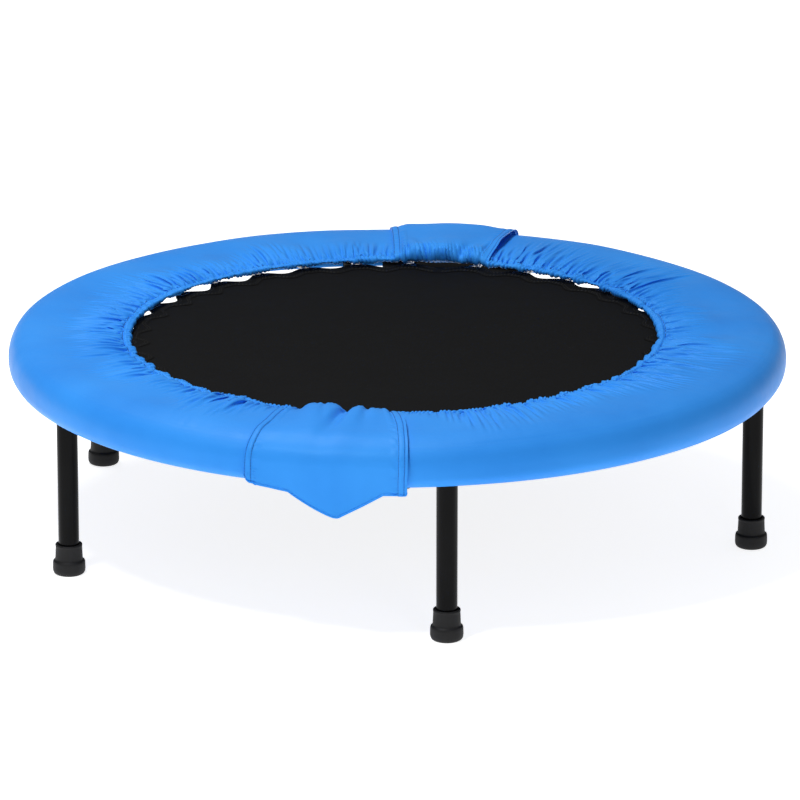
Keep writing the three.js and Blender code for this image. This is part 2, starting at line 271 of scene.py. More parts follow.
class Nodes:
    """A new node material with short ways to add nodes and links."""

    def __init__(self, name):
        self.material = bpy.data.materials.new(name)
        self.material.use_nodes = True
        self.tree = self.material.node_tree
        self.shader = self.tree.nodes["Principled BSDF"]
        self.place = self.tree.nodes.new("ShaderNodeTexCoord").outputs["Object"]

    def add(self, kind, settings=None, **inputs):
        node = self.tree.nodes.new(kind)
        for key, value in (settings or {}).items():
            setattr(node, key, value)
        for key, value in inputs.items():
            self.put(node.inputs[key.replace("_", " ")], value)
        return node

    def put(self, socket, value):
        if isinstance(value, bpy.types.NodeSocket):
            self.tree.links.new(value, socket)
        else:
            socket.default_value = value

    def surface(self, **inputs):
        """Links or sets each of these on the shader's socket of that name."""
        for key, value in inputs.items():
            self.put(self.shader.inputs[key.replace("_", " ")], value)

    def noise(self, scale, detail=2.0, roughness=0.5):
        return self.add(
            "ShaderNodeTexNoise", Vector=self.place, Scale=scale, Detail=detail, Roughness=roughness
        ).outputs["Fac"]

    def spread(self, value, low, high, from_low=0.3, from_high=0.7):
        node = self.add("ShaderNodeMapRange", Value=value)
        for key, number in (
            ("From Min", from_low), ("From Max", from_high), ("To Min", low), ("To Max", high)
        ):
            node.inputs[key].default_value = number
        return node.outputs["Result"]

    def mix(self, share, a, b):
        node = self.add("ShaderNodeMix", {"data_type": "RGBA"})
        self.put(node.inputs["Factor"], share)
        self.put(node.inputs["A"], a)
        self.put(node.inputs["B"], b)
        return node.outputs["Result"]

    def tones(self, value, a, b):
        return self.mix(self.spread(value, 0, 1), a, b)

    def maths(self, operation, a, b):
        node = self.add("ShaderNodeMath", {"operation": operation})
        self.put(node.inputs[0], a)
        self.put(node.inputs[1], b)
        return node.outputs[0]

    def bump(self, height, distance, strength=1.0, under=None):
        node = self.add("ShaderNodeBump", Height=height, Distance=distance, Strength=strength)
        if under is not None:
            self.tree.links.new(under, node.inputs["Normal"])
        return node.outputs["Normal"]

    def weave(self, pitch):
        """Threads over and under each other along X and Y, from 0 to 1."""
        bands = []
        for axis in ("X", "Y"):
            wave = self.add(
                "ShaderNodeTexWave",
                {"wave_type": "BANDS", "bands_direction": axis, "wave_profile": "SIN"},
                Vector=self.place, Scale=math.pi / 10 / pitch, Distortion=0.0,
            )
            bands.append(wave.outputs["Fac"])
        return self.maths("MULTIPLY", bands[0], bands[1])


def rgb(r, g, b):
    return (r, g, b, 1.0)


def vinyl_material():
    n = Nodes("vinyl_blue")
    fine = n.noise(900.0, 2.0)
    tone = n.tones(n.noise(7.0, 3.0), rgb(0.030, 0.262, 0.82), rgb(0.042, 0.318, 0.92))
    weave = n.bump(n.weave(0.0011), 0.00008, 0.5, n.bump(fine, 0.00012, 0.5))
    n.surface(
        Base_Color=n.mix(n.spread(fine, 0, 0.12), tone, rgb(0.05, 0.34, 0.96)),
        Roughness=n.spread(n.noise(38.0, 4.0), 0.38, 0.47),
        Specular_IOR_Level=0.18,
        Specular_Tint=rgb(0.35, 0.72, 1.0),
        Normal=n.bump(n.noise(55.0, 3.0), 0.0011, 0.35, weave),
    )
    return n.material


def lining_material():
    n = Nodes("vinyl_lining")
    n.surface(
        Base_Color=n.tones(n.noise(600.0, 2.0), rgb(0.012, 0.055, 0.22), rgb(0.018, 0.075, 0.28)),
        Roughness=n.spread(n.noise(40.0), 0.6, 0.8),
        Normal=n.bump(n.weave(0.0013), 0.00015, 0.7),
    )
    return n.material


def thread_material(name, dark, light):
    n = Nodes(name)
    n.surface(
        Base_Color=n.tones(n.noise(1500.0), dark, light),
        Roughness=n.spread(n.noise(300.0), 0.55, 0.75),
        Normal=n.bump(n.noise(4000.0), 0.0002, 0.6),
    )
    return n.material


def mat_material(name, base, light, pitch):
    n = Nodes(name)
    weave = n.weave(pitch)
    worn = n.noise(9.0, 4.0, 0.6)
    # painted highlight: the crossings of the weave are given a lighter colour, on top of the bump
    weave_highlight = n.maths("MULTIPLY", weave, 0.4)
    n.surface(
        Base_Color=n.mix(weave_highlight, n.tones(worn, base, light), rgb(0.011, 0.011, 0.0115)),
        Roughness=n.spread(worn, 0.62, 0.78),
        Specular_IOR_Level=0.07,
        Normal=n.bump(weave, 0.0004, 0.8, n.bump(n.noise(24.0, 2.0), 0.0008, 0.15)),
    )
    return n.material


def paint_material():
    n = Nodes("black_powder_coat")
    n.surface(
        Base_Color=n.tones(n.noise(30.0, 3.0), rgb(0.0022, 0.0022, 0.0025), rgb(0.0036, 0.0036, 0.004)),
        Roughness=n.spread(n.noise(60.0, 3.0), 0.11, 0.17),
        Specular_IOR_Level=0.08,
        Normal=n.bump(n.noise(500.0, 2.0), 0.00004, 0.25),
    )
    return n.material


def steel_material():
    n = Nodes("zinc_steel")
    n.surface(
        Base_Color=n.tones(n.noise(140.0, 4.0), rgb(0.42, 0.43, 0.45), rgb(0.66, 0.67, 0.68)),
        Metallic=1.0,
        Roughness=n.spread(n.noise(260.0, 4.0), 0.22, 0.42),
        Normal=n.bump(n.noise(900.0, 2.0), 0.00006, 0.5),
    )
    return n.material


def rubber_material():
    n = Nodes("foot_rubber")
    wide = n.noise(45.0, 4.0)
    n.surface(
        Base_Color=n.tones(wide, rgb(0.0045, 0.0045, 0.005), rgb(0.0095, 0.0095, 0.0105)),
        Roughness=n.spread(wide, 0.52, 0.7),
        Specular_IOR_Level=0.3,
        Normal=n.bump(n.noise(1300.0, 3.0), 0.00012, 0.5),
    )
    return n.material


VINYL = vinyl_material()
LINING = lining_material()
THREAD = thread_material("blue_thread", rgb(0.006, 0.03, 0.16), rgb(0.012, 0.06, 0.28))
BLACK_THREAD = thread_material("black_thread", rgb(0.003, 0.003, 0.003), rgb(0.008, 0.008, 0.0075))
MAT = mat_material("mat_weave", rgb(0.0036, 0.0037, 0.004), rgb(0.0056, 0.0057, 0.006), 0.0016)
WEBBING = mat_material("mat_webbing", rgb(0.0022, 0.0022, 0.0022), rgb(0.0045, 0.0044, 0.004), 0.0024)
PAINT = paint_material()
STEEL = steel_material()
RUBBER = rubber_material()


# ---------------------------------------------------------------- frame and hinges


TUBE_SIDES, TUBE_STEPS = 28, 150
TUBE_CHAMFER = 0.3 * MM
BORE_DEPTH = 5.0   # degrees along the ring that the open ends can be looked into


def frame_half(side):
    """Half of the ring tube, open at its ends, with saddles and threaded studs."""
    end = math.degrees(math.asin(TUBE_END_X / RING_R))
    deep = end + BORE_DEPTH
    inside = TUBE_R - TUBE_WALL
    mouth = [(deep, ON_AXIS), (deep, inside), (end, inside), (end, TUBE_R - TUBE_CHAMFER)]
    rows = mouth + [(a, TUBE_R) for a in np.linspace(end, 180 - end, TUBE_STEPS)]
    rows += [(180 - a, r) for a, r in reversed(mouth)]
    turn = np.arange(TUBE_SIDES) * 2 * np.pi / TUBE_SIDES
    verts = np.concatenate(
        [at(side * a, RING_R + r * np.cos(turn), RING_Z + r * np.sin(turn)) for a, r in rows]
    )
    parts = [(verts, grid_quads(len(rows), TUBE_SIDES, wrap_cols=True))]
    for angle in LEG_ANGLES.values():
        if (math.sin(math.radians(angle)) > 0) == (side > 0):
            parts += [(v + at(angle, RING_R), f) for v, f in saddle()]
    obj = make(f"ring_tube_{HALF_NAME[side]}", parts, PAINT, merge=True)
    return finish_piece(obj, BODY_OF_HALF[side], [f"frame_half_{HALF_NAME[side]}"])


def saddle():
    """A welded pad under the tube with the leg's threaded stud. The lengths are in millimetres."""
    pad_bottom = 211
    pad = [(0, pad_bottom), (11, pad_bottom), (11, 214.5), (12.2, 216), (13.5, 219.5)]
    pad += [(12.4, 223), (0, 223)]
    stud_tip, pitch = pad_bottom - 28, 1.5
    stud = [(0, stud_tip), (3.9, stud_tip), (4.7, stud_tip + 0.8)]
    for i in range(int(26 / pitch)):
        z = stud_tip + 1.2 + i * pitch
        stud += [(4.2, z), (5.0, z + pitch / 2)]
    stud += [(4.6, pad_bottom - 0.1), (4.6, pad_bottom + 1), (0, pad_bottom + 1)]
    return [turned(rounded(np.array(pad) * MM, 0.6 * MM), 32), turned(np.array(stud) * MM, 24)]


def bracket(name, turn):
    """A curved U channel: low walls under the tube and ears round the hinge bolts."""
    low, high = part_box(f"hinge_bracket_{name}")
    half_width = 16.8 * MM
    wall = 2.4 * MM
    ear, slope = 37 * MM, 12 * MM
    top_of_wall = 213.9 * MM
    bend = 4 * MM

    def wall_top(x):
        rise = eased((ear + slope - np.abs(x)) / slope)
        return top_of_wall + (high.z - top_of_wall) * rise

    columns = []
    end_angle = math.degrees(math.asin(high.x / RING_R))
    for angle in np.linspace(-end_angle, end_angle, 97):
        x = RING_R * math.sin(math.radians(angle))
        lift = max(0.0, (abs(x) - (high.x - 8 * MM)) / (8 * MM)) ** 2 * 5 * MM
        top = wall_top(x)
        floor = low.z + lift
        outer = half_width + wall
        one = [(outer - bend, floor), (outer, floor + bend), (outer, top), (half_width, top)]
        one += [(half_width, floor + bend), (half_width - bend + wall, floor + wall)]
        loop = np.array(one + [(-across, z) for across, z in reversed(one)])
        columns.append(at(angle + turn, RING_R + loop[:, 0], loop[:, 1]))
    rows, cols = len(columns), len(columns[0])
    faces = [list(q) for q in grid_quads(rows, cols, wrap_cols=True)]
    faces.append(list(range(cols)))
    faces.append([(rows - 1) * cols + i for i in range(cols)][::-1])
    obj = make(f"bracket_{name}", [(np.concatenate(columns), faces)], PAINT, smooth=False, merge=True)
    edge = obj.modifiers.new("edge", "BEVEL")
    edge.width, edge.segments, edge.limit_method = 0.6 * MM, 2, "ANGLE"
    edge.angle_limit = math.radians(40)
    obj.data.polygons.foreach_set("use_smooth", [True] * len(obj.data.polygons))
    obj.data.update()
    return finish_piece(obj, "hinge_brackets", [f"hinge_bracket_{name}"])


def hex_prism(radius, low, high, chamfer=0.7 * MM):
    """A bolt head or nut about the Z axis, as a part."""
    turn = np.arange(6) * 60.0
    rows = [(ON_AXIS, low), (radius - chamfer, low), (radius, low + chamfer)]
    rows += [(radius, high - chamfer), (radius - chamfer, high), (ON_AXIS, high)]
    verts = np.concatenate([at(turn, r, z) for r, z in rows])
    return verts, grid_quads(len(rows), 6, wrap_cols=True)


def washer(low, high):
    hole_r, rim_r = 4.1 * MM, 8 * MM
    return turned([(hole_r, low), (rim_r, low), (rim_r, high), (hole_r, high)], 28)


def hinge_bolt(name, half):
    """A hex bolt with washers and a nut, its head outside the ring."""
    low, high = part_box(f"hinge_bolt_{name}_{half}")
    front = -1 if name == "front" else 1
    centre = (low + high) / 2
    inner, outer = sorted((abs(low.y), abs(high.y)))
    head = outer - 4.5 * MM
    nut_end = inner + 6.5 * MM
    shank = [(0, inner), (3.4 * MM, inner), (4 * MM, inner + 0.6 * MM), (4 * MM, head), (0, head)]
    parts = [
        turned(shank, 24),
        hex_prism(7 * MM, head, outer),
        hex_prism(7 * MM, inner + 1.5 * MM, nut_end - 0.6 * MM),
        washer(nut_end - 0.4 * MM, nut_end + 0.8 * MM),
        washer(head - 0.9 * MM, head + 0.1 * MM),
    ]
    outwards = np.array(((1, 0, 0), (0, 0, front), (0, 1, 0)))
    placed = [(verts @ outwards.T + [centre.x, 0, centre.z], faces) for verts, faces in parts]
    obj = make(f"bolt_{name}_{half}", placed, STEEL, smooth=False)
    return finish_piece(obj, "hinge_brackets", [f"hinge_bolt_{name}_{half}"])


# ---------------------------------------------------------------- legs and feet


def leg(name, angle):
    body = f"leg_{name}"
    place = at(angle, RING_R)
    low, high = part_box(f"leg_tube_{name}")
    r = 12.7 * MM
    tube = [(11.5 * MM, low.z), (r, low.z), (r, high.z - 3.4 * MM), (12.2 * MM, high.z - 3 * MM)]
    tube += [(r, high.z - 2.6 * MM), (r, high.z), (5.4 * MM, high.z), (5.4 * MM, high.z - 20 * MM)]
    tube += [(11.5 * MM, high.z - 20 * MM), (11.5 * MM, low.z)]
    verts, faces = turned(rounded(tube, 0.4 * MM), 64)
    obj = make(f"leg_{name}_tube", [(verts + place, faces)], PAINT, merge=True)
    finish_piece(obj, body, [f"leg_tube_{name}"])
    foot(name, body, place)


def foot(name, body, place):
    """A moulded rubber foot: a wide base, a tapered collar with a thin lip, and grooves in the
    sole. The lengths are in millimetres."""
    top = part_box(f"foot_{name}")[1].z / MM
    profile = [(0, 1.6), (5, 1.6), (5.6, 0), (8.4, 0), (9, 1.6), (11.4, 1.6), (12, 0), (16.2, 0)]
    profile += [(18.3, 1.3), (19.5, 3.6), (19.9, 7), (19.7, 14.5), (19.2, 16.8), (17.9, 17.7)]
    profile += [(17.0, 18.4), (16.75, 20.5), (16.1, top - 3.4), (16.5, top - 2.2)]
    profile += [(16.4, top - 0.7), (15.7, top), (13.5, top), (12.95, top - 0.8)]
    profile += [(12.95, 12.4), (0, 12.4)]
    verts, faces = turned(rounded(np.array(profile) * MM, 0.5 * MM, 2), 72)
    obj = make(f"foot_{name}_rubber", [(verts + place, faces)], RUBBER, merge=True)
    finish_piece(obj, body, [f"foot_{name}"])


# ---------------------------------------------------------------- springs


def spring_parts():
    """A coil along +Y with a hook round the mat's ring and a hook into the tube."""
    start, end = 349 * MM, RING_R - TUBE_R + 3 * MM
    coil_start, coil_end = 360 * MM, 421 * MM
    coil_r, wire_r = 5.0 * MM, 1.0 * MM
    turns, per_turn = 21, 14
    t = np.linspace(0, turns, turns * per_turn + 1)
    ease = np.clip(np.minimum(t, turns - t), 0, 1)
    r = coil_r * ease**0.7
    a = 2 * np.pi * t
    y = coil_start + (coil_end - coil_start) * t / turns
    coil = np.stack([r * np.sin(a), y, r * np.cos(a)], -1)
    loop = np.linspace(1.35 * np.pi, -0.5 * np.pi, 16)
    hook_r = 3.6 * MM
    hook = np.stack([0 * loop, start + hook_r + hook_r * np.sin(loop), hook_r * np.cos(loop)], -1)
    neck = np.array([[0, coil_start - 2 * MM, 0]])
    tail = np.array([[0, coil_end + 3 * MM, 0], [0, end - 2 * MM, 0], [0, end, -2 * MM], [0, end, -4 * MM]])
    path = np.concatenate([hook, neck, coil, tail])
    keep = [0]
    for i in range(1, len(path)):
        if np.linalg.norm(path[i] - path[keep[-1]]) > 0.35 * MM:
            keep.append(i)
    return sweep(path[keep], wire_r, 6)


def ring_parts(angle):
    """The triangular steel ring sewn into the mat's edge at one spring."""
    corners = np.array([(-11, 337.0), (11, 337.0), (2.6, 350.5), (-2.6, 350.5)]) * MM
    points = []
    for a, b, c in zip(np.roll(corners, 1, 0), corners, np.roll(corners, -1, 0)):
        points += corner(a, b, c, 2.4 * MM, 4)
    p = np.array(points)
    turn = math.radians(angle)
    x = p[:, 1] * math.sin(turn) + p[:, 0] * math.cos(turn)
    y = -p[:, 1] * math.cos(turn) + p[:, 0] * math.sin(turn)
    return sweep(np.stack([x, y, np.full(len(p), SPRING_Z + 0.4 * MM)], -1), 1.2 * MM, 8, closed=True)


def springs():
    verts, faces = spring_parts()
    shared = None
    for side in (-1, 1):
        rings = []
        for i in range(SPRINGS_PER_HALF):
            angle = side * (FIRST_SPRING + i * SPRING_STEP)
            which = f"{HALF_NAME[side]}_{i + 1:02d}"
            if shared is None:
                obj = make(f"coil_{which}", [(verts, faces)], STEEL)
                shared = obj.data
            else:
                obj = in_scene(f"coil_{which}", shared)
            obj.location = (0, 0, SPRING_Z)
            obj.rotation_euler = (0, 0, math.radians(angle) + math.pi)
            finish_piece(obj, BODY_OF_HALF[side], [f"spring_{which}"])
            rings.append(ring_parts(angle))
        ring_obj = make(f"mat_rings_{HALF_NAME[side]}", rings, STEEL)
        finish_piece(ring_obj, BODY_OF_HALF[side])


# ---------------------------------------------------------------- mat


def spring_angles():
    one = FIRST_SPRING + np.arange(SPRINGS_PER_HALF) * SPRING_STEP
    return np.concatenate([one, 360 - one[::-1]])


def mat_edge(angle):
    """The mat's radius at each angle: a flat-topped point at each spring, hollow between two."""
    springs_at = spring_angles()
    a = np.mod(angle, 360)
    gap = np.abs((a[:, None] - springs_at[None, :] + 180) % 360 - 180).min(1)
    half = np.where((a < FIRST_SPRING) | (a > 360 - FIRST_SPRING) | (np.abs(a - 180) < FIRST_SPRING),
                    FIRST_SPRING, SPRING_STEP / 2)
    share = np.clip((gap - MAT_TIP_HALF) / (half - MAT_TIP_HALF), 0, 1)
    uneven = 1 + 0.28 * noise_1d(a, SPRING_STEP, 12)
    return MAT_TIP_R - (MAT_TIP_R - MAT_VALLEY_R) * uneven * np.sin(share * np.pi / 2) ** 1.25


def mat_height(x, y):
    """The mat lies flat under tension, with the faintest pull between opposite springs."""
    r = np.hypot(x, y)
    pull = 0.25 * MM * noise_1d(x, 60 * MM, 3) * noise_1d(y, 70 * MM, 4)
    return MAT_TOP - 0.7 * MM * (1 - (r / MAT_TIP_R) ** 2) + pull


def thick_sheet(top, thickness, normals):
    """A closed thin sheet under a grid of points, as a part."""
    rows, cols = top.shape[:2]
    under = rows * cols
    index = np.arange(under).reshape(rows, cols)
    border = np.concatenate([index[0], index[1:, -1], index[-1, -2::-1], index[-2:0:-1, 0]])
    following = np.roll(border, -1)
    faces = [
        grid_quads(rows, cols),
        grid_quads(rows, cols, start=under)[:, ::-1],
        np.stack([following, border, border + under, following + under], -1),
    ]
    verts = np.concatenate([top.reshape(-1, 3), (top - normals * thickness).reshape(-1, 3)])
    return verts, np.concatenate(faces)


def mat_sheet(side, inner, lift, thickness, name, material, steps=361):
    """The mat on one side of the fold line, or only a band this wide along its edge."""
    angles = np.linspace(0, 180, steps) * side
    edge = mat_edge(angles)
    rows = np.linspace(0, 1, 42 if inner is None else 8)
    low = 0 * edge if inner is None else edge - inner
    radius = low[None, :] + (edge - low)[None, :] * rows[:, None]
    top = at(angles[None, :], radius, 0.0)
    top[..., 2] = mat_height(top[..., 0], top[..., 1]) + lift
    part = thick_sheet(top, thickness, np.array([0.0, 0.0, 1.0]))
    return make(name, [part], material, merge=True, sharp=50)


def bend_with_fold(obj, side):
    """Bakes the object's transform into its mesh, the same on either side; nothing is bent."""
    if side < 0:
        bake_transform(obj)
    else:
        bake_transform(obj)


# The length of a stitch, the gap to the next one and the radius of its thread.
MAT_STITCH = (3.2 * MM, 1.6 * MM, 0.35 * MM)
HEM_STITCH = (3.0 * MM, 1.8 * MM, 0.35 * MM)
FLAP_STITCH = (2.6 * MM, 1.0 * MM, 0.32 * MM)
STITCH_ARCH = np.array([-1.0, 0.55, 0.9, 0.55, -1.0])   # its height along its length, in radii


def stitch_line(points, normals, length, gap, radius):
    """Short raised stitches along a line of points, as parts."""
    p = np.asarray(points, float)
    run = np.concatenate([[0], np.cumsum(np.linalg.norm(np.diff(p, axis=0), axis=1))])
    parts = []
    for s in np.arange(gap / 2, run[-1] - length, length + gap):
        where = np.linspace(s, s + length, len(STITCH_ARCH))
        q = np.stack([np.interp(where, run, p[:, k]) for k in range(3)], -1)
        n = np.stack([np.interp(where, run, normals[:, k]) for k in range(3)], -1)
        parts.append(sweep(q + n * STITCH_ARCH[:, None] * radius, radius, 5))
    return parts


MAT_SEAMS = (3, 6, 17, 20.5)   # rows of stitches, in millimetres in from the mat's edge


def mat_stitches(side):
    angles = np.linspace(0.6, 179.4, 1400) * side
    rows = []
    for inset in MAT_SEAMS:
        p = at(angles, mat_edge(angles) - inset * MM, 0.0)
        p[:, 2] = mat_height(p[:, 0], p[:, 1]) + 0.55 * MM
        up = np.tile([0.0, 0.0, 1.0], (len(p), 1))
        rows += stitch_line(p, up, *MAT_STITCH)
    return make(f"mat_stitches_{HALF_NAME[side]}", rows, BLACK_THREAD)


def mat():
    for side in (-1, 1):
        half = HALF_NAME[side]
        sheet = mat_sheet(side, None, 0.0, MAT_THICKNESS, f"mat_cloth_{half}", MAT)
        band = mat_sheet(side, 24 * MM, 0.5 * MM, 2.2 * MM, f"mat_edge_band_{half}", WEBBING)
        thread = mat_stitches(side)
        nodes = ["mat_left"] if side < 0 else ["mat_right", "mat_fold"]
        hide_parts(*nodes)
        for obj in (sheet, band, thread):
            bend_with_fold(obj, side)


# ---------------------------------------------------------------- cover

# The cover's section from under the hem, round the elastic, over the top and down the skirt.
HEM_LINE = [(339, 241.6), (335.5, 240.9), (332.2, 241.6), (330.4, 243.6), (330.8, 246.0),
            (333.2, 247.3), (336.4, 247.2), (339.2, 246.2)]
PANEL_LINE = [(339.2, 246.2), (343, 246.9), (350, 248.4), (362, 250.0), (385, 251.1), (410, 251.6),
              (428, 251.6), (442, 251.2), (454, 250.0), (464, 247.2)]
RIM_LINE = [(464, 247.2), (471, 242.4), (476.2, 235.0), (479.2, 226.0), (479.9, 216.5), (478.8, 208),
            (475.6, 201.8), (471.6, 197.3), (469.8, 196.2), (468.1, 196.6), (467.8, 199.5)]
UNDER_LINE = [(469.6, 205), (472.4, 213), (473.4, 222), (471.5, 229.5), (466.5, 235.6), (459, 239.6),
              (448, 241.2), (424, 241.0), (392, 240.9), (360, 240.7), (346, 240.6)]
OPENING = HEM_LINE[3][0] * MM
HEM_ROWS, SIM_ROWS, RIM_ROWS, UNDER_ROWS = 18, 34, 26, 16
SIM_COLUMNS = 620
PANEL_ROWS = 2 * SIM_ROWS - 1
COLUMNS = 2 * SIM_COLUMNS - 1
COARSE_ROUNDS, FINE_ROUNDS = 150, 30
BENDING = 0.20           # how much the vinyl resists a crease, per round
GATHER = 0.75            # spare length at the elastic, as a share of its length
GATHER_REACH = 50 * MM   # how far from the elastic the spare length runs out
SINK, RISE = 2.5 * MM, 11 * MM
RUFFLE_PITCH = 5.2 * MM
SECOND_ROW = 6.5 * MM    # from the stitches to the elastic's second row
COVER_SEEDS = {"gathers": 40, "ruffles": 60, "top": 80, "skirt": 90}
TUCK = 8 * MM            # how far the hem is drawn back under a flap
SLUMP, SLUMP_ALONG, SLUMP_WIDTH = 4 * MM, 128 * MM, 20 * MM
SLACK = {-1: 0.0, 1: 9 * MM}
SLACK_ANGLE, SLACK_SPREAD = 85, 42
RIM_LIFT = {-1: 4.5 * MM, 1: 2.0 * MM}   # how much higher the rim sits at the sides
SOFT_RISE = 8 * MM     # folds higher than this are drawn down


def flap_edge(name, side, share):
    """The flap's edge in degrees from the fold line, at a share of the way from hem to rim."""
    edges = {
        ("front", -1): (13.6, 13.3, 12.5, 12.3, 12.3, 12.3),
        ("front", 1): (10.0, 10.4, 10.9, 11.0, 10.9, 10.8),
        ("rear", -1): (10.3, 10.3, 10.4, 10.6, 10.8, 10.8),
        ("rear", 1): (11.1, 10.9, 10.5, 9.9, 9.4, 9.4),
    }
    return np.interp(share, (0, 0.2, 0.45, 0.75, 1, 1.4), edges[(name, side)])


CALM_OVERLAP, CALM_BLEND = 1.6, 1.8   # degrees: how far gathers go on under a flap, and fade


def calm(side, angle):
    """1 on the open cover, 0 where a flap lies over it."""
    result = np.ones_like(angle)
    for name, turn in (("front", 0), ("rear", 180)):
        edge = float(flap_edge(name, side, 0.2))
        off = np.abs(np.abs(angle) - turn)
        result = result * np.clip((off - edge + CALM_OVERLAP) / CALM_BLEND, 0, 1)
    return eased(result)


# Each layer of folds: its pitch, reach and height in millimetres, and how much the folds lean.
FOLD_LAYERS = ((6, 16, 0.9, 0.3), (14, 38, 2.4, 0.6), (27, 66, 4.4, 0.9), (46, 95, 3.8, 1.2))


def folds(run, along, seed, strength=1.0):
    """The height of gathered folds. run is the distance round the hem and along the distance
    from the hem: many small puckers at the hem merge into fewer, longer folds."""
    height = np.zeros(np.broadcast(run, along).shape)
    rng = np.random.default_rng(seed)
    first, last = float(np.min(run)), float(np.max(run))
    for pitch, reach, tall, lean in FOLD_LAYERS:
        for k in range(int((last - first) / (pitch * MM))):
            centre = first + (k + rng.uniform(-0.45, 0.45)) * pitch * MM
            size = rng.uniform(0.3, 1.0) ** 1.2
            far = reach * MM * rng.uniform(0.45, 1.25)
            width = pitch * MM * rng.uniform(0.24, 0.4)
            drift = rng.normal(0, 0.16 * lean)
            near = np.abs(run - centre) < 5 * width + abs(drift) * 0.12 + 0.02
            columns = np.where(near.any(0))[0]
            if len(columns) == 0:
                continue
            c = slice(columns[0], columns[-1] + 1)
            wider = width * (1 + 1.5 * along[:, c] / far)
            across = (run[:, c] - centre - drift * along[:, c]) / wider
            trough = 0.42 * np.exp(-0.5 * ((np.abs(across) - 1.75) / 0.55) ** 2)
            ridge = np.exp(-0.5 * across**2) - trough
            height[:, c] += tall * MM * size * ridge * fading(along[:, c], far, 1.6) * strength
    return height


def swept(side, rows, columns):
    """A section's rows swept round half the ring between the ends at |x| = COVER_END_X."""
    end = np.degrees(np.arcsin(COVER_END_X / rows[:, 0]))[:, None]
    angle = side * (end + (180 - 2 * end) * np.linspace(0, 1, columns)[None, :])
    return at(angle, rows[:, :1], rows[:, 1:]), angle


def run_lengths(rows):
    return np.concatenate([[0], np.cumsum(np.linalg.norm(np.diff(rows, axis=0), axis=1))])


def upward(normal, row):
    return -normal if normal[row, normal.shape[1] // 2, 2] < 0 else normal


def limited(height, low, high):
    """Heights held softly between -low and high."""
    return np.where(height < 0, -low * np.tanh(-height / low), high * np.tanh(height / high))


def twice_as_fine(grid):
    """A grid of points with a new row and column between each two, on smooth curves."""
    for axis in (0, 1):
        g = np.moveaxis(grid, axis, 0)
        padded = np.concatenate([2 * g[:1] - g[1:2], g, 2 * g[-1:] - g[-2:-1]])
        middle = (9 * (padded[1:-2] + padded[2:-1]) - padded[:-3] - padded[3:]) / 16
        fine = np.empty((2 * len(g) - 1, *g.shape[1:]))
        fine[::2], fine[1::2] = g, middle
        grid = np.moveaxis(fine, 0, axis)
    return grid


def spare_cloth(side, along, angle, seed):
    """How much longer the cloth is than the room it has, as a factor, at each point."""
    run = np.radians(np.abs(angle)) * OPENING
    reach = GATHER_REACH * (1 + 0.4 * noise_1d(run, 70 * MM, seed))
    amount = GATHER * (0.75 + 0.45 * noise_1d(run, 45 * MM, seed + 1))
    return 1 + amount * fading(along, reach, 1.3) * calm(side, angle)


def tighten(x, loose, lengths, axis):
    """Moves neighbours along one axis of a grid of cloth to their distance apart in the cloth."""
    points, free, wanted = (np.moveaxis(g, axis, 0) for g in (x, loose, lengths))
    for phase in (0, 1):
        one, other = points[phase:-1:2], points[phase + 1::2]
        free_one, free_other = free[phase:-1:2], free[phase + 1::2]
        apart = other - one
        length = np.maximum(np.linalg.norm(apart, axis=2), 1e-6)
        share = (length - wanted[phase::2]) / (length * np.maximum(free_one + free_other, 1))
        one += apart * (share * free_one)[..., None]
        other -= apart * (share * free_other)[..., None]


def soften(x, loose, axis, share):
    """Resists bending along one axis: each point moves towards the middle of its neighbours."""
    points, free = np.moveaxis(x, axis, 0), np.moveaxis(loose, axis, 0)
    middle = (points[:-2] + points[2:]) / 2
    points[1:-1] += (middle - points[1:-1]) * (share * free[1:-1])[..., None]


def settled(x, smooth, normal, spare, loose, rounds, stiffness, sink=SINK, high=SOFT_RISE):
    """A cloth simulation on a grid: the cloth keeps its own lengths, resists bending, can't sink
    into the foam under it and is drawn down where it stands high."""
    round_hem = np.linalg.norm(np.diff(smooth, axis=1), axis=2) * (spare[:, 1:] + spare[:, :-1]) / 2
    outwards = np.linalg.norm(np.diff(smooth, axis=0), axis=2)
    for _ in range(rounds):
        soften(x, loose, 1, stiffness)
        soften(x, loose, 0, 0.4 * stiffness)
        tighten(x, loose, round_hem, 1)
        tighten(x, loose, outwards, 0)
        lift = np.sum((x - smooth) * normal, axis=2)
        allowed = np.where(lift > high, lift - 0.03 * (lift - high), np.maximum(lift, -sink))
        x += normal * ((allowed - lift) * loose)[..., None]
    return x


def gathered(side, rows, seed):
    """The cover's top panel, bunched along the elastic by a cloth simulation."""
    x = None
    for columns, line, rounds in ((SIM_COLUMNS, rows[::2], COARSE_ROUNDS), (COLUMNS, rows, FINE_ROUNDS)):
        smooth, angle = swept(side, line, columns)
        normal = upward(grid_normals(smooth), len(line) // 2)
        along = np.broadcast_to(run_lengths(line)[:, None], angle.shape)
        run = np.radians(np.abs(angle)) * OPENING
        loose = np.ones(angle.shape)
        loose[0] = loose[-2:] = loose[:, 0] = loose[:, -1] = 0
        if x is None:
            seeded = limited(folds(run, along, seed) * calm(side, angle), SINK, RISE) * (along > 0)
            x = smooth + normal * seeded[..., None]
        else:
            x = twice_as_fine(x)
            x[loose == 0] = smooth[loose == 0]
        spare = spare_cloth(side, along, angle, seed + 1)
        x = settled(x, smooth, normal, spare, loose, rounds, BENDING)
    return x


